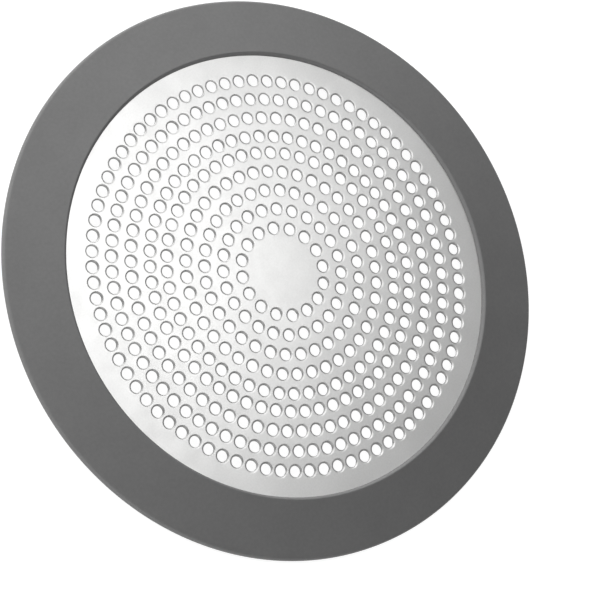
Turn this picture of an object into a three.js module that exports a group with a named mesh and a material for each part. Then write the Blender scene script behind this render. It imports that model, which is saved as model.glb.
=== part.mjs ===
// Shower drain strainer: a domed perforated steel plate held in the groove of a moulded silicone rim.
// Millimetres, +Z up. The origin is on the floor under the plate's centre.
// +X runs through a hole of every ring.
import * as THREE from 'three';

// Hole pattern, in concentric rings round a plain centre
const HOLE_DIAMETER = 2.9;
const FIRST_RING_RADIUS = 11.4;
const RING_PITCH = 5.0;
const INNER_GROUP_RINGS = 5; // rings punched at the pitch round the centre
const OUTER_GROUP_RINGS = 4; // rings punched at the pitch outside them
const GROUP_STEP = 4.4; // from the inner group's last ring to the outer group's first
const SPOKES = 8; // radial lines on which every ring has a hole
const FIRST_RING_HOLES_PER_SPOKE = 2; // each ring further out has one more

// Plate
const PLATE_THICKNESS = 0.65;
const PLATE_MARGIN = 6.7; // from the last ring of holes to the rim's lip
const DOME_RISE = 1.75; // of the plate's centre over its face at the lip
const PLATE_INSERT = 3.6; // how far the plate's edge runs in under the lip

// Rim
const RIM_WIDTH = 15.4; // from the lip to the outer edge
const RIM_SLOPE_DEG = 10.3; // fall of the upper face towards the outer edge
const RIM_EDGE_HEIGHT = 2.0; // of the outer edge over the floor
const EDGE_ROUND = 0.9; // of the outer edge, above
const FOOT_ROUND = 0.4; // of the outer edge, below
const FOOT_WIDTH = 4.0; // flat land that seals on the floor
const LIP_ROUND = 0.75; // of the lip's upper edge
const LIP_THICKNESS = 0.1; // of the blunt edge over the plate
const LOWER_LIP_THICKNESS = 0.6; // of the edge under the plate
const SEAT_CLEARANCE = 0.15; // round the plate's edge in the groove

// Facets
const HOLE_SIDES = 6; // an even number
const ROUND_SEGMENTS = 72; // of the rim and of the plate's edge
const EDGE_ARC_STEPS = 4;
const LIP_ARC_STEPS = 3;
const FOOT_ARC_STEPS = 2;

const TURN = 2 * Math.PI;
const ROUND_LIMIT = 0.45; // share of the outer edge's height that a round may take

// Radii that follow
const ringCount = INNER_GROUP_RINGS + OUTER_GROUP_RINGS;
const lipRadius = ringRadius(ringCount - 1) + PLATE_MARGIN;
const plateRadius = lipRadius + PLATE_INSERT;
const outerRadius = lipRadius + RIM_WIDTH;

// Heights that follow: the rim's top runs straight from the round of its outer edge to the round of its lip
const rimSlope = THREE.MathUtils.degToRad(RIM_SLOPE_DEG);
const edgeRound = Math.min(EDGE_ROUND, ROUND_LIMIT * RIM_EDGE_HEIGHT);
const footRound = Math.min(FOOT_ROUND, ROUND_LIMIT * RIM_EDGE_HEIGHT);
const edgeCentre = new THREE.Vector2(outerRadius - edgeRound, RIM_EDGE_HEIGHT - edgeRound);
const footCentre = new THREE.Vector2(outerRadius - footRound, footRound);
const rimRun = edgeCentre.x - lipRadius - LIP_ROUND;
const lipRoundZ = edgeCentre.y + (edgeRound - LIP_ROUND) / Math.cos(rimSlope) + rimRun * Math.tan(rimSlope);
const lipCentre = new THREE.Vector2(lipRadius + LIP_ROUND, lipRoundZ);
const lipZ = lipCentre.y - LIP_THICKNESS - SEAT_CLEARANCE;

// Radius of a ring of holes, counted from the centre
function ringRadius(ring) {
  const even = FIRST_RING_RADIUS + ring * RING_PITCH;
  return ring < INNER_GROUP_RINGS ? even : even + GROUP_STEP - RING_PITCH;
}

// Height of the plate's upper face at a radius
function domeZ(radius) {
  return lipZ + DOME_RISE * (1 - (radius / lipRadius) ** 2);
}

// Each item of a closed loop with the one after it
function pairs(loop) {
  return loop.map((item, i) => [item, loop[(i + 1) % loop.length]]);
}

// Points of an arc in the rim's section, from one angle to another, both ends included
function arcPoints(centre, radius, from, to, steps) {
  return Array.from({ length: steps + 1 }, (_, i) => {
    const angle = from + ((to - from) * i) / steps;
    return new THREE.Vector2(centre.x + radius * Math.cos(angle), centre.y + radius * Math.sin(angle));
  });
}

// The rim is its section revolved: foot, rounded edge, sloping top, rounded lip, groove and lower lip
function makeRim() {
  const grooveRadius = plateRadius + SEAT_CLEARANCE;
  const grooveTop = (radius) => domeZ(radius) + SEAT_CLEARANCE;
  const grooveBottom = (radius) => domeZ(radius) - PLATE_THICKNESS - SEAT_CLEARANCE;
  const section = [
    new THREE.Vector2(outerRadius - FOOT_WIDTH, 0),
    ...arcPoints(footCentre, footRound, -TURN / 4, 0, FOOT_ARC_STEPS),
    ...arcPoints(edgeCentre, edgeRound, 0, TURN / 4 - rimSlope, EDGE_ARC_STEPS),
    ...arcPoints(lipCentre, LIP_ROUND, TURN / 4 - rimSlope, TURN / 2, LIP_ARC_STEPS),
    new THREE.Vector2(lipRadius, grooveTop(lipRadius)),
    new THREE.Vector2(grooveRadius, grooveTop(grooveRadius)),
    new THREE.Vector2(grooveRadius, grooveBottom(grooveRadius)),
    new THREE.Vector2(lipRadius, grooveBottom(lipRadius)),
    new THREE.Vector2(lipRadius, grooveBottom(lipRadius) - LOWER_LIP_THICKNESS),
  ];
  section.push(section[0].clone());
  const geometry = new THREE.LatheGeometry(section, ROUND_SEGMENTS);
  geometry.rotateX(TURN / 4);
  return geometry;
}

// The plate is woven ring by ring: strips of triangles join each ring's holes to the next, on both faces
function makePlate() {
  const upper = [];
  const triangles = [];
  const edges = [];

  // The sides of a hole enclose the round hole's own area
  const facet = TURN / HOLE_SIDES;
  const cornerRadius = (HOLE_DIAMETER / 2) * Math.sqrt(facet / Math.sin(facet));

  // Adds a corner to the upper face, beside a radial line, and gives its angle, which grows along a loop
  function corner(radial, beside, angle) {
    const turn = angle + Math.atan2(beside, radial);
    const radius = Math.hypot(radial, beside);
    upper.push(new THREE.Vector3(radius * Math.cos(turn), radius * Math.sin(turn), domeZ(radius)));
    return { index: upper.length - 1, turn };
  }

  // The half of a hole's corners that lies outwards (1) or inwards (-1) of its middle
  function holeSide(ring, angle, outwards) {
    return Array.from({ length: HOLE_SIDES / 2 }, (_, i) => {
      const local = (i + 0.5) * facet;
      const radial = ringRadius(ring) + outwards * cornerRadius * Math.sin(local);
      return corner(radial, -cornerRadius * Math.cos(local), angle);
    });
  }

  // Joins two closed loops by a strip, going on along the loop whose next corner comes first
  function weave(innerLoop, outerLoop) {
    const closed = (loop) => [...loop, { index: loop[0].index, turn: loop[0].turn + TURN }];
    const inner = closed(innerLoop);
    const outer = closed(outerLoop);
    let i = 0;
    let j = 0;
    while (i < innerLoop.length || j < outerLoop.length) {
      const innerDone = i === innerLoop.length;
      const outerDone = j === outerLoop.length;
      const takeOuter = innerDone || (!outerDone && outer[j + 1].turn < inner[i + 1].turn);
      const next = takeOuter ? outer[j + 1] : inner[i + 1];
      triangles.push([inner[i].index, outer[j].index, next.index]);
      if (takeOuter) {
        j += 1;
      } else {
        i += 1;
      }
    }
  }

  const centre = corner(0, 0, 0);
  let lastLoop = null;
  for (let ring = 0; ring < ringCount; ring += 1) {
    const count = SPOKES * (FIRST_RING_HOLES_PER_SPOKE + ring);
    const holes = Array.from({ length: count }, (_, i) => {
      const angle = (TURN * i) / count;
      return { near: holeSide(ring, angle, -1), far: holeSide(ring, angle, 1) };
    });
    const nearLoop = holes.flatMap((hole) => hole.near);
    if (lastLoop) {
      weave(lastLoop, nearLoop);
    } else {
      pairs(nearLoop).forEach(([a, b]) => triangles.push([centre.index, a.index, b.index]));
    }
    // The web from each hole to the next in its ring
    pairs(holes).forEach(([hole, next]) => {
      const web = [hole.near.at(-1), hole.far.at(-1), next.far[0], next.near[0]].map((p) => p.index);
      triangles.push([web[0], web[1], web[2]], [web[0], web[2], web[3]]);
    });
    holes.forEach((hole) => edges.push([...hole.near, ...hole.far.toReversed()]));
    lastLoop = holes.flatMap((hole) => hole.far);
  }
  const segments = Array.from({ length: ROUND_SEGMENTS }, (_, i) => (TURN * i) / ROUND_SEGMENTS);
  const plateEdge = segments.map((angle) => corner(plateRadius, 0, angle));
  weave(lastLoop, plateEdge);
  edges.push(plateEdge);

  // The lower face is the upper one set down by the sheet's thickness, and walls close every edge
  const lower = upper.map((p) => p.clone().setZ(p.z - PLATE_THICKNESS));
  const down = upper.length;
  const faces = triangles.flatMap(([a, b, c]) => [a, b, c, down + a, down + c, down + b]);
  edges.flatMap(pairs).forEach(([{ index: a }, { index: b }]) => {
    faces.push(a, down + a, down + b, a, down + b, b);
  });
  const geometry = new THREE.BufferGeometry().setFromPoints([...upper, ...lower]);
  geometry.setIndex(faces);
  geometry.computeVertexNormals();
  return geometry;
}

function namedMesh(name, geometry, material) {
  const mesh = new THREE.Mesh(geometry, material);
  mesh.name = name;
  return mesh;
}

const silicone = new THREE.MeshStandardMaterial({ color: 0x5d5d5d, roughness: 0.6, metalness: 0 });
const steel = new THREE.MeshStandardMaterial({ color: 0xcececd, roughness: 0.3, metalness: 1 });

const strainer = new THREE.Group();
strainer.add(namedMesh('silicone_rim', makeRim(), silicone));
strainer.add(namedMesh('strainer_plate', makePlate(), steel));

export default strainer;
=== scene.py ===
import math
import random

import bpy
from mathutils import Matrix, Vector, noise


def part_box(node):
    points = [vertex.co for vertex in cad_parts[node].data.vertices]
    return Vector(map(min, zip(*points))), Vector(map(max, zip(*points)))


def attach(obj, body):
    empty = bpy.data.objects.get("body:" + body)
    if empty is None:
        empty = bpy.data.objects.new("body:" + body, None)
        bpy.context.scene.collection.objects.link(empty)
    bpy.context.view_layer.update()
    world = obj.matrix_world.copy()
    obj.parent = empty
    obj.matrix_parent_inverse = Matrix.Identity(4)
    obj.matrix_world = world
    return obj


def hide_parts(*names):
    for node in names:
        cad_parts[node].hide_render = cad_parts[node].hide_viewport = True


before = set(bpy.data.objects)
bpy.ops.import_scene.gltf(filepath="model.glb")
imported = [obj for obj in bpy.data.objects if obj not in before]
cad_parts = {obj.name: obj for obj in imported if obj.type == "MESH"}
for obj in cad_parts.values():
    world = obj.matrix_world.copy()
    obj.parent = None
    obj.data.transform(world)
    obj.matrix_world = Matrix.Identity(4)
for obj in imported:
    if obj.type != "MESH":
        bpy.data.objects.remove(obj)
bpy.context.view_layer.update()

MM = 0.001
TURN = 2 * math.pi
SEED = 7
UPRIGHT = (0, 0, 1)
WHITE = (1, 1, 1, 1)

# Plate and its pattern of holes, in millimetres
HOLE_RADIUS = 1.435  # a hair less than in the CAD, as the photograph shows
FIRST_RING_RADIUS = 11.4
RING_PITCH = 5.0
INNER_GROUP_RINGS = 5
OUTER_GROUP_RINGS = 4
GROUP_STEP = 4.4  # from the inner group's last ring to the outer group's first
SPOKES = 8  # radial lines on which every ring has a hole
FIRST_RING_HOLES_PER_SPOKE = 2
PLATE_MARGIN = 6.63  # from the last ring to the lip, a hair less than in the CAD
PLATE_THICKNESS = 0.65
DOME_RISE = 1.75

# Punched edges, in millimetres
ROLL_SECTION = ((0.45, 0), (0.34, 0.016), (0.22, 0.054), (0.1, 0.106), (0, 0.152))  # (from the wall, drop)
ROLL_WIDTH = ROLL_SECTION[0][0]
GUARD_WIDTH = 0.05  # flat ring round each roll, which keeps the shading of the sheet clean
ROLL_SPREAD = 0.25  # share by which one hole's roll may be deeper or shallower
PLACE_SPREAD = 0.045  # how far a hole may lie off its place, each way
PATTERN_SHIFT = (0.04, 0.145)  # the holes are punched a little off the plate's centre
TILT_SPREAD = 0.07  # of a hole's lower edge, sideways
BREAKOUT = 0.03  # by which a hole is wider at its lower edge
WAVE_HEIGHT = 0.014  # waviness of the punched sheet
WAVE_LENGTH = 13.0

# Rim, in millimetres
RIM_SLOPE = math.radians(10.3)
RIM_EDGE_HEIGHT = 2.0
EDGE_ROUND = 0.9
FOOT_ROUND = 0.4
FOOT_WIDTH = 4.0
LIP_ROUND = 0.8  # of the lip's upper edge, across
LIP_END = math.radians(148)  # where the round meets the plate, on a slant
LOWER_LIP = 0.6
LIP_SHIFT = (-0.125, 0.04)  # the lip is moulded a little off the rim's centre
SEAT_CLEARANCE = 0.15
GRIP = 0.03  # by which the lips press into the plate, with no visible gap

# Facets
RIM_SEGMENTS = 288
PLATE_SEGMENTS = 192
CENTRE_SEGMENTS = 48
HOLE_SEGMENTS = 24
FOOT_STEPS = 4
EDGE_STEPS = 8
LIP_STEPS = 12
CENTRE_LOOPS = (0.3, 0.6, 0.9)  # shares of the plain centre's radius
MARGIN_LOOPS = (0.1, 0.3, 0.55, 0.75, 1)  # shares of the way from the last holes to the plate's edge
SHARP_ANGLE = math.radians(40)

# Finishes
SHEET_SLOT = 0
WALL_SLOT = 1
SILICONE_COLOUR = (0.1135, 0.1135, 0.1135)
SILICONE_IOR = 1.43
STEEL_COLOUR = (0.62, 0.62, 0.615)
# Painted shade: the hole walls are darker than sheared steel alone, standing in for the dark under the plate
# that they mirror
SHEARED_AND_SHADE_COLOUR = (0.33, 0.33, 0.327)
SHEARED_ROUGHNESS = 0.5
NOISE_RANGE = (0.3, 0.7)  # where most values of a noise texture lie

# Camera of the photograph, in millimetres and degrees
LENS_LENGTH = 159.6
SENSOR_WIDTH = 36
CAMERA_AIM = (-1.356, 7.658, 3.083)
CAMERA_DISTANCE = 674.2
CAMERA_AZIMUTH = -4.2
CAMERA_ELEVATION = 61.87
CAMERA_ROLL = 61.27
CLIP_RANGE_M = (0.01, 20)

# Floor
FLOOR_GREY = 0.3
FLOOR_GLOW = 0.86
FLOOR_HALF_M = 3.0
FLOOR_DROP = 0.02  # millimetres below the rim's foot

# Panels mirrored in the plate, with metres for the distance and degrees for the rest
PLATE_BRIGHT_AZIMUTH = -51  # side to which a panel is turned from the mirrored view
SOFTBOX = dict(turn=12, distance=1.0, size=(28, 12))
FILL = dict(aside=0, distance=1.02, size=(8, 40))
MIRRORED_PANELS = {
    "far_softbox": dict(SOFTBOX, aside=-11, radiance=1.44),
    "middle_softbox": dict(SOFTBOX, aside=1, radiance=1.98),
    "near_softbox": dict(SOFTBOX, aside=13, radiance=1.74),
    "top_softbox": dict(turn=40, aside=1, distance=1.0, size=(28, 40), radiance=0.85),
    "side_fill": dict(turn=12, aside=39.5, distance=1.02, size=(28, 41), radiance=0.3),
    "inner_fill": dict(FILL, turn=-6, radiance=0.31),
    "outer_fill": dict(FILL, turn=-14, radiance=0.49),
}

# Key lights for the rim, in metres and degrees
KEY_ELEVATION = 12
KEY_DISTANCE_M = 1.2
KEY_SIZE_M = (0.4, 0.6)
KEYS = {
    "left_key": dict(azimuth=-60, radiance=17.4),
    "far_key": dict(azimuth=-120, radiance=13.2),
}

# Low panels round the object, with metres for the distance and degrees for the rest
LOW_PANELS = {
    "low_softbox": dict(azimuth=-95, elevation=22, distance=1.0, size=(40, 120), radiance=1.45),
    "edge_strip": dict(azimuth=35, elevation=4, distance=1.1, size=(6, 60), radiance=18),
    "low_fill": dict(azimuth=97, elevation=15, distance=1.1, size=(24, 80), radiance=0.42),
}

# Room
ROOM_LEVEL = 0.215
ROOM_BRIGHT_AZIMUTH = 20  # degrees
ROOM_BRIGHT_LEVEL = 0.45  # added on the bright side
ROOM_FALL_OFF = 2  # power of the cosine from the bright side
BACKDROP_TOP = 10  # elevation in degrees, below which reflections see white

# Sizes read from the frame, in millimetres
outer_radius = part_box("silicone_rim")[1].x / MM
plate_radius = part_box("strainer_plate")[1].x / MM
apex_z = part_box("strainer_plate")[1].z / MM
ring_count = INNER_GROUP_RINGS + OUTER_GROUP_RINGS


def ring_radius(ring):
    """The radius of a ring of holes, counted from the centre."""
    even = FIRST_RING_RADIUS + ring * RING_PITCH
    return even if ring < INNER_GROUP_RINGS else even + GROUP_STEP - RING_PITCH


lip_radius = ring_radius(ring_count - 1) + PLATE_MARGIN


def dome_z(radius):
    """The height of the plate's upper face at a radius."""
    return apex_z - DOME_RISE * (radius / lip_radius) ** 2


def make_object(name, points, faces, materials, face_slots=None):
    """A smooth mesh object from points in millimetres, with its sharp edges kept."""
    mesh = bpy.data.meshes.new(name)
    mesh.from_pydata([Vector(p) * MM for p in points], [], faces)
    for material in materials:
        mesh.materials.append(material)
    if face_slots:
        mesh.polygons.foreach_set("material_index", face_slots)
    mesh.shade_smooth()
    mesh.set_sharp_from_angle(angle=SHARP_ANGLE)
    made = bpy.data.objects.new(name, mesh)
    bpy.context.scene.collection.objects.link(made)
    return made


def arc(centre, half_axes, start, end, steps):
    """Points of an elliptical arc in a section, both ends included."""
    angles = [start + (end - start) * i / steps for i in range(steps + 1)]
    return [(centre[0] + half_axes[0] * math.cos(a), centre[1] + half_axes[1] * math.sin(a)) for a in angles]


def rim_section():
    """The rim's closed section: foot, outer edge, sloping top, rounded lip, groove and lower lip."""
    edge_centre = (outer_radius - EDGE_ROUND, RIM_EDGE_HEIGHT - EDGE_ROUND)
    foot_centre = (outer_radius - FOOT_ROUND, FOOT_ROUND)
    slope_end = lip_radius + LIP_ROUND
    groove_end = plate_radius + SEAT_CLEARANCE
    lip_z = dome_z(lip_radius)
    under_z = lip_z - PLATE_THICKNESS
    end_z = dome_z(groove_end)
    rise = EDGE_ROUND / math.cos(RIM_SLOPE) + (edge_centre[0] - slope_end) * math.tan(RIM_SLOPE)
    lip_top = edge_centre[1] + rise
    lip_height = (lip_top - lip_z + GRIP) / (1 - math.sin(LIP_END))
    lip_axes = (-LIP_ROUND / math.cos(LIP_END), lip_height)
    lip_centre = (slope_end, lip_top - lip_height)
    return [
        (outer_radius - FOOT_WIDTH, 0),
        *arc(foot_centre, (FOOT_ROUND, FOOT_ROUND), -TURN / 4, 0, FOOT_STEPS),
        *arc(edge_centre, (EDGE_ROUND, EDGE_ROUND), 0, TURN / 4 - RIM_SLOPE, EDGE_STEPS),
        *arc(lip_centre, lip_axes, TURN / 4 - RIM_SLOPE, LIP_END, LIP_STEPS),
        (groove_end, end_z + SEAT_CLEARANCE),
        (groove_end, end_z - PLATE_THICKNESS - SEAT_CLEARANCE),
        (lip_radius, under_z + GRIP),
        (lip_radius, under_z - SEAT_CLEARANCE - LOWER_LIP),
    ]


def make_rim(material):
    """The section revolved, and shifted the more the nearer it is to the lip."""
    section = rim_section()
    count = len(section)
    points = []
    for i in range(RIM_SEGMENTS):
        angle = TURN * i / RIM_SEGMENTS
        for r, z in section:
            share = (outer_radius - r) / (outer_radius - lip_radius)
            shift = [share * s for s in LIP_SHIFT]
            points.append((r * math.cos(angle) + shift[0], r * math.sin(angle) + shift[1], z))
    faces = []
    for i in range(RIM_SEGMENTS):
        here, there = i * count, (i + 1) % RIM_SEGMENTS * count
        for j in range(count):
            k = (j + 1) % count
            faces.append((here + j, there + j, there + k, here + k))
    return make_object("moulded_rim", points, faces, [material])


class Sheet:
    """The plate's points and faces, with a material slot for each face."""

    def __init__(self):
        self.points = []
        self.faces = []
        self.slots = []

    def point(self, x, y, below):
        """Adds a point so far below the wavy dome, and gives its number."""
        radius = math.hypot(x, y)
        wave = WAVE_HEIGHT * noise.noise(Vector((x, y, 0)) / WAVE_LENGTH) * min(1, radius / WAVE_LENGTH)
        self.points.append((x, y, dome_z(radius) + wave - below))
        return len(self.points) - 1

    def face(self, corners, upper, slot=SHEET_SLOT):
        """Adds a face, turned over where it isn't on the upper side."""
        self.faces.append(tuple(corners) if upper else tuple(reversed(corners)))
        self.slots.append(slot)

    def circle(self, radius, count, below):
        """A plain loop round the plate's centre, as (point, angle) pairs."""
        angles = [TURN * i / count for i in range(count)]
        return [(self.point(radius * math.cos(a), radius * math.sin(a), below), a) for a in angles]

    def weave(self, inner, outer, upper):
        """Joins two closed loops by a strip, going on along the loop whose next point comes first."""
        near = inner + [(inner[0][0], inner[0][1] + TURN)]
        far = outer + [(outer[0][0], outer[0][1] + TURN)]
        i = j = 0
        while i < len(inner) or j < len(outer):
            inner_done, outer_done = i == len(inner), j == len(outer)
            take_outer = inner_done or (not outer_done and far[j + 1][1] < near[i + 1][1])
            step = far[j + 1] if take_outer else near[i + 1]
            self.face((near[i][0], far[j][0], step[0]), upper)
            if take_outer:
                j += 1
            else:
                i += 1


class Hole:
    """One punched hole: circles of points from the sheet's upper face, down its wall, to the lower face."""

    def __init__(self, sheet, ring, angle, chance):
        self.sheet = sheet
        self.angle = angle
        self.radial = ring_radius(ring) + chance.uniform(-PLACE_SPREAD, PLACE_SPREAD)
        self.beside = chance.uniform(-PLACE_SPREAD, PLACE_SPREAD)
        depth = 1 + chance.uniform(-ROLL_SPREAD, ROLL_SPREAD)
        tilt = (chance.uniform(-TILT_SPREAD, TILT_SPREAD), chance.uniform(-TILT_SPREAD, TILT_SPREAD))
        self.circles = [self.circle(HOLE_RADIUS + ROLL_WIDTH + GUARD_WIDTH, 0)]
        for reach, drop in ROLL_SECTION:
            self.circles.append(self.circle(HOLE_RADIUS + reach, drop * depth))
        self.circles.append(self.circle(HOLE_RADIUS + BREAKOUT, PLATE_THICKNESS, tilt))
        for step, (upper, lower) in enumerate(zip(self.circles, self.circles[1:])):
            slot = WALL_SLOT if step == len(ROLL_SECTION) else SHEET_SLOT
            for k in range(HOLE_SEGMENTS):
                n = (k + 1) % HOLE_SEGMENTS
                sheet.face((upper[k][0], lower[k][0], lower[n][0], upper[n][0]), True, slot)

    def circle(self, radius, below, shift=(0, 0)):
        """A loop round the hole's middle, as (point, angle) pairs."""
        loop = []
        for k in range(HOLE_SEGMENTS):
            local = TURN * (k + 0.5) / HOLE_SEGMENTS
            radial = self.radial + shift[0] + radius * math.sin(local)
            beside = self.beside + shift[1] + radius * math.cos(local)
            turn = self.angle + math.atan2(beside, radial)
            reach = math.hypot(radial, beside)
            x, y = PATTERN_SHIFT[0] + reach * math.cos(turn), PATTERN_SHIFT[1] + reach * math.sin(turn)
            loop.append((self.sheet.point(x, y, below), turn))
        return loop

    def side(self, level, outwards):
        """Half of a circle, in the order of growing angle."""
        half = HOLE_SEGMENTS // 2
        loop = self.circles[level]
        return loop[:half][::-1] if outwards else loop[half:]


def make_face(sheet, rings, upper):
    """Weaves one face of the plate from its centre outwards, and gives the loop at its edge."""
    level, below = (0, 0) if upper else (-1, PLATE_THICKNESS)
    roll_reach = HOLE_RADIUS + ROLL_WIDTH + GUARD_WIDTH
    centre_end = ring_radius(0) - roll_reach
    margin_start = ring_radius(ring_count - 1) + roll_reach
    middle = sheet.point(0, 0, below)
    inner = [sheet.circle(centre_end * share, CENTRE_SEGMENTS, below) for share in CENTRE_LOOPS]
    first = inner[0]
    for (a, _), (b, _) in zip(first, first[1:] + first[:1]):
        sheet.face((middle, a, b), upper)
    for near, far in zip(inner, inner[1:]):
        sheet.weave(near, far, upper)
    last = inner[-1]
    for holes in rings:
        sheet.weave(last, [p for hole in holes for p in hole.side(level, False)], upper)
        for hole, following in zip(holes, holes[1:] + holes[:1]):
            near_end, far_end = hole.side(level, False)[-1][0], hole.side(level, True)[-1][0]
            far_next, near_next = following.side(level, True)[0][0], following.side(level, False)[0][0]
            sheet.face((near_end, far_end, far_next, near_next), upper)
        last = [p for hole in holes for p in hole.side(level, True)]
    for share in MARGIN_LOOPS:
        radius = margin_start + (plate_radius - margin_start) * share
        loop = sheet.circle(radius, PLATE_SEGMENTS, below)
        sheet.weave(last, loop, upper)
        last = loop
    return last


def make_plate(steel, wall_steel_and_shade):
    """The punched holes, both faces of the sheet round them, and its outer edge."""
    sheet = Sheet()
    chance = random.Random(SEED)
    rings = []
    for ring in range(ring_count):
        count = SPOKES * (FIRST_RING_HOLES_PER_SPOKE + ring)
        rings.append([Hole(sheet, ring, TURN * i / count, chance) for i in range(count)])
    top = make_face(sheet, rings, True)
    bottom = make_face(sheet, rings, False)
    for i in range(PLATE_SEGMENTS):
        n = (i + 1) % PLATE_SEGMENTS
        sheet.face((top[i][0], bottom[i][0], bottom[n][0], top[n][0]), True)
    return make_object("perforated_plate", sheet.points, sheet.faces, [steel, wall_steel_and_shade], sheet.slots)


def new_material(name):
    """A material, with its nodes, its links and its shader."""
    material = bpy.data.materials.new(name)
    material.use_nodes = True
    nodes, links = material.node_tree.nodes, material.node_tree.links
    return material, nodes, links, nodes["Principled BSDF"]


def object_noise(nodes, links, per_mm, detail):
    """A noise value over the object, with so many cells to the millimetre."""
    place = nodes.new("ShaderNodeTexCoord")
    scaled = nodes.new("ShaderNodeMapping")
    scaled.inputs["Scale"].default_value = (1 / MM, 1 / MM, 1 / MM)
    links.new(place.outputs["Object"], scaled.inputs["Vector"])
    cells = nodes.new("ShaderNodeTexNoise")
    cells.inputs["Scale"].default_value = per_mm
    cells.inputs["Detail"].default_value = detail
    links.new(scaled.outputs["Vector"], cells.inputs["Vector"])
    return cells.outputs["Fac"]


def noise_between(nodes, links, low, high, per_mm, detail):
    """Object noise, mapped on to a range."""
    value = object_noise(nodes, links, per_mm, detail)
    mapped = nodes.new("ShaderNodeMapRange")
    mapped.inputs["From Min"].default_value = NOISE_RANGE[0]
    mapped.inputs["From Max"].default_value = NOISE_RANGE[1]
    mapped.inputs["To Min"].default_value = low
    mapped.inputs["To Max"].default_value = high
    links.new(value, mapped.inputs["Value"])
    return mapped.outputs["Result"]


def maths(nodes, links, operation, first, second):
    """The outcome of an operation on a value, with another value or a plain number."""
    node = nodes.new("ShaderNodeMath")
    node.operation = operation
    links.new(first, node.inputs[0])
    if isinstance(second, (int, float)):
        node.inputs[1].default_value = second
    else:
        links.new(second, node.inputs[1])
    return node.outputs[0]


def tinted(nodes, links, colour, shade):
    """A colour made lighter and darker by a shade about 1."""
    scaled = nodes.new("ShaderNodeVectorMath")
    scaled.operation = "SCALE"
    scaled.inputs[0].default_value = colour
    links.new(shade, scaled.inputs["Scale"])
    return scaled.outputs["Vector"]


def bumped(nodes, links, shader, height, strength, depth_mm):
    """Gives a shader a fine relief, from a height that runs from 0 to 1."""
    bump = nodes.new("ShaderNodeBump")
    bump.inputs["Strength"].default_value = strength
    bump.inputs["Distance"].default_value = depth_mm * MM
    links.new(height, bump.inputs["Height"])
    links.new(bump.outputs["Normal"], shader.inputs["Normal"])


def silicone_material():
    """Matte grey silicone: a fine moulded texture with faint clouds in its tone."""
    material, nodes, links, shader = new_material("grey_silicone")
    clouds = noise_between(nodes, links, low=0.97, high=1.03, per_mm=0.12, detail=3)
    grain = noise_between(nodes, links, low=0.955, high=1.045, per_mm=1.2, detail=3)
    shade = maths(nodes, links, "MULTIPLY", clouds, grain)
    links.new(tinted(nodes, links, SILICONE_COLOUR, shade), shader.inputs["Base Color"])
    rough = noise_between(nodes, links, low=0.52, high=0.6, per_mm=0.5, detail=2)
    links.new(rough, shader.inputs["Roughness"])
    shader.inputs["IOR"].default_value = SILICONE_IOR
    texture = object_noise(nodes, links, per_mm=4.0, detail=2)
    bumped(nodes, links, shader, texture, strength=0.4, depth_mm=0.02)
    return material


def steel_material():
    """Satin stainless sheet: fine grain and faint clouds, with an uneven gloss."""
    material, nodes, links, shader = new_material("satin_steel")
    shader.inputs["Metallic"].default_value = 1
    clouds = noise_between(nodes, links, low=0.965, high=1.035, per_mm=0.09, detail=4)
    grain = noise_between(nodes, links, low=0.97, high=1.03, per_mm=2.2, detail=2)
    shade = maths(nodes, links, "MULTIPLY", clouds, grain)
    links.new(tinted(nodes, links, STEEL_COLOUR, shade), shader.inputs["Base Color"])
    rough = noise_between(nodes, links, low=0.28, high=0.33, per_mm=0.2, detail=3)
    links.new(rough, shader.inputs["Roughness"])
    texture = object_noise(nodes, links, per_mm=2.0, detail=2)
    bumped(nodes, links, shader, texture, strength=0.25, depth_mm=0.01)
    return material


def sheared_and_shaded_material():
    """The walls of the holes, torn rough by the punch. Their darker colour is partly the sheared steel's own
    and partly painted shade for the dark under the plate that they mirror.
    """
    material, nodes, links, shader = new_material("sheared_steel_and_painted_shade")
    shader.inputs["Metallic"].default_value = 1
    tears = noise_between(nodes, links, low=0.5, high=1.3, per_mm=1.5, detail=3)
    # The walls' base colour carries painted shade as well as the sheared steel's own tone and its random
    # tears
    links.new(tinted(nodes, links, SHEARED_AND_SHADE_COLOUR, tears), shader.inputs["Base Color"])
    shader.inputs["Roughness"].default_value = SHEARED_ROUGHNESS
    texture = object_noise(nodes, links, per_mm=6.0, detail=2)
    bumped(nodes, links, shader, texture, strength=0.5, depth_mm=0.03)
    return material


def direction(azimuth, elevation=0):
    """The unit vector towards an azimuth and elevation in degrees."""
    around, above = math.radians(azimuth), math.radians(elevation)
    return Vector((math.cos(above) * math.cos(around), math.cos(above) * math.sin(around), math.sin(above)))


def add_camera():
    """Adds the photograph's camera, and gives the direction to it from its aim."""
    data = bpy.data.cameras.new("camera")
    data.lens = LENS_LENGTH
    data.sensor_width = SENSOR_WIDTH
    data.clip_start, data.clip_end = CLIP_RANGE_M
    camera = bpy.data.objects.new("camera", data)
    bpy.context.scene.collection.objects.link(camera)
    back = direction(CAMERA_AZIMUTH, CAMERA_ELEVATION)
    level = Vector(UPRIGHT).cross(back).normalized()
    right = Matrix.Rotation(math.radians(CAMERA_ROLL), 3, back) @ level
    up = back.cross(right)
    place = Matrix((right, up, back)).transposed().to_4x4()
    place.translation = (Vector(CAMERA_AIM) + back * CAMERA_DISTANCE) * MM
    camera.matrix_world = place
    bpy.context.scene.camera = camera
    return back


def ray_kinds(nodes, links):
    """Two values: 1 for a ray from the camera, and 1 for a ray that was mirrored or let through."""
    path = nodes.new("ShaderNodeLightPath").outputs
    mirrored = maths(nodes, links, "MAXIMUM", path["Is Glossy Ray"], path["Is Transmission Ray"])
    return path["Is Camera Ray"], mirrored


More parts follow.
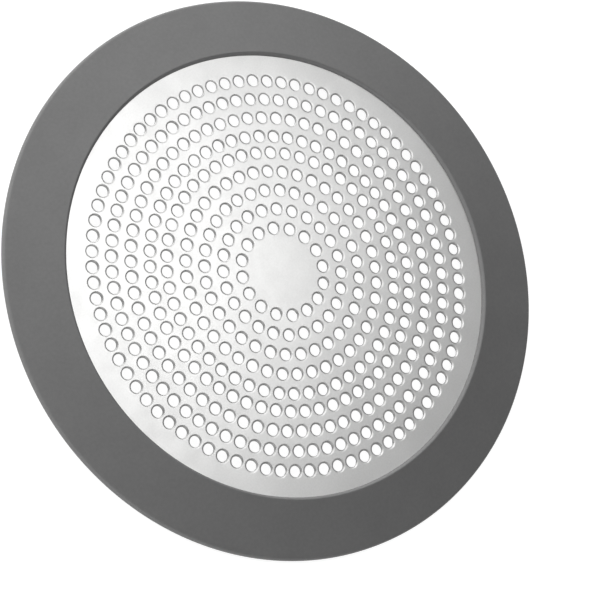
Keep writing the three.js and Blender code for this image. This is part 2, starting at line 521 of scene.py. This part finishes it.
def floor_material():
    """A white floor that takes shadows: most of its white is a glow that casts no light."""
    material, nodes, links, shader = new_material("white_floor")
    nodes.remove(shader)
    diffuse = nodes.new("ShaderNodeBsdfDiffuse")
    diffuse.inputs["Color"].default_value = (FLOOR_GREY, FLOOR_GREY, FLOOR_GREY, 1)
    glow = nodes.new("ShaderNodeEmission")
    direct, mirrored = ray_kinds(nodes, links)
    seen = maths(nodes, links, "MAXIMUM", direct, mirrored)
    links.new(maths(nodes, links, "MULTIPLY", seen, FLOOR_GLOW), glow.inputs["Strength"])
    total = nodes.new("ShaderNodeAddShader")
    links.new(diffuse.outputs[0], total.inputs[0])
    links.new(glow.outputs[0], total.inputs[1])
    links.new(total.outputs[0], nodes["Material Output"].inputs["Surface"])
    return material


def add_floor():
    """A wide floor just under the rim's foot."""
    half = FLOOR_HALF_M
    corners = [(-half, -half, 0), (half, -half, 0), (half, half, 0), (-half, half, 0)]
    mesh = bpy.data.meshes.new("floor")
    mesh.from_pydata(corners, [], [(0, 1, 2, 3)])
    mesh.materials.append(floor_material())
    floor = bpy.data.objects.new("floor", mesh)
    floor.location.z = -FLOOR_DROP * MM
    bpy.context.scene.collection.objects.link(floor)


def add_panel(name, towards, across, distance, size, radiance):
    """A rectangular softbox in metres, facing the object, with its first side along across."""
    data = bpy.data.lights.new(name, "AREA")
    data.shape = "RECTANGLE"
    data.size, data.size_y = size
    data.energy = radiance * math.pi * size[0] * size[1]
    panel = bpy.data.objects.new(name, data)
    back = Vector(towards).normalized()
    x = (Vector(across) - back * back.dot(Vector(across))).normalized()
    y = back.cross(x)
    place = Matrix((x, y, back)).transposed().to_4x4()
    place.translation = back * distance
    panel.matrix_world = place
    bpy.context.scene.collection.objects.link(panel)
    return panel


def swing(start, side, angle):
    """A unit vector turned by degrees towards another, which is at right angles to it."""
    return start * math.cos(math.radians(angle)) + side * math.sin(math.radians(angle))


def spans(angles):
    """The sides, in metres, of a panel that takes up these degrees at one metre."""
    return [2 * math.tan(math.radians(angle / 2)) for angle in angles]


def add_lights(back):
    """Panels mirrored in the plate, key lights that it doesn't mirror, and low panels round the object."""
    mirrored = Vector((-back.x, -back.y, back.z))
    bright_side = direction(PLATE_BRIGHT_AZIMUTH)
    along = (bright_side - mirrored * mirrored.dot(bright_side)).normalized()
    beside = mirrored.cross(along)
    for name, panel in MIRRORED_PANELS.items():
        towards = swing(swing(mirrored, along, panel["turn"]), beside, panel["aside"])
        add_panel(name, towards, along, panel["distance"], spans(panel["size"]), panel["radiance"])
    for name, light in KEYS.items():
        towards = direction(light["azimuth"], KEY_ELEVATION)
        key = add_panel(name, towards, UPRIGHT, KEY_DISTANCE_M, KEY_SIZE_M, light["radiance"])
        key.visible_glossy = False
    for name, panel in LOW_PANELS.items():
        towards = direction(panel["azimuth"], panel["elevation"])
        add_panel(name, towards, UPRIGHT, panel["distance"], spans(panel["size"]), panel["radiance"])


def add_room():
    """A dim room, brighter to one side: white to the camera, and low down in reflections too."""
    world = bpy.data.worlds.new("room")
    world.use_nodes = True
    nodes, links = world.node_tree.nodes, world.node_tree.links
    place = nodes.new("ShaderNodeTexCoord")
    facing = nodes.new("ShaderNodeVectorMath")
    facing.operation = "DOT_PRODUCT"
    facing.inputs[1].default_value = direction(ROOM_BRIGHT_AZIMUTH)
    links.new(place.outputs["Generated"], facing.inputs[0])
    lit_side = maths(nodes, links, "MAXIMUM", facing.outputs["Value"], 0)
    lobe = maths(nodes, links, "POWER", lit_side, ROOM_FALL_OFF)
    added = maths(nodes, links, "MULTIPLY", lobe, ROOM_BRIGHT_LEVEL)
    level = maths(nodes, links, "ADD", added, ROOM_LEVEL)
    height = nodes.new("ShaderNodeSeparateXYZ")
    links.new(place.outputs["Generated"], height.inputs[0])
    top = math.sin(math.radians(BACKDROP_TOP))
    backdrop = maths(nodes, links, "LESS_THAN", height.outputs["Z"], top)
    direct, mirrored = ray_kinds(nodes, links)
    mirrored_white = maths(nodes, links, "MULTIPLY", mirrored, backdrop)
    white = maths(nodes, links, "MAXIMUM", direct, mirrored_white)
    background = nodes["Background"]
    background.inputs["Color"].default_value = WHITE
    links.new(maths(nodes, links, "MAXIMUM", white, level), background.inputs["Strength"])
    bpy.context.scene.world = world


camera_back = add_camera()
rim = make_rim(silicone_material())
plate = make_plate(steel_material(), sheared_and_shaded_material())
for piece, node, slot in ((rim, "silicone_rim", "silicone"), (plate, "strainer_plate", "steel")):
    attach(piece, "root")
    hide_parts(node)
add_floor()
add_lights(camera_back)
add_room()
bpy.context.scene.view_settings.view_transform = "Standard"
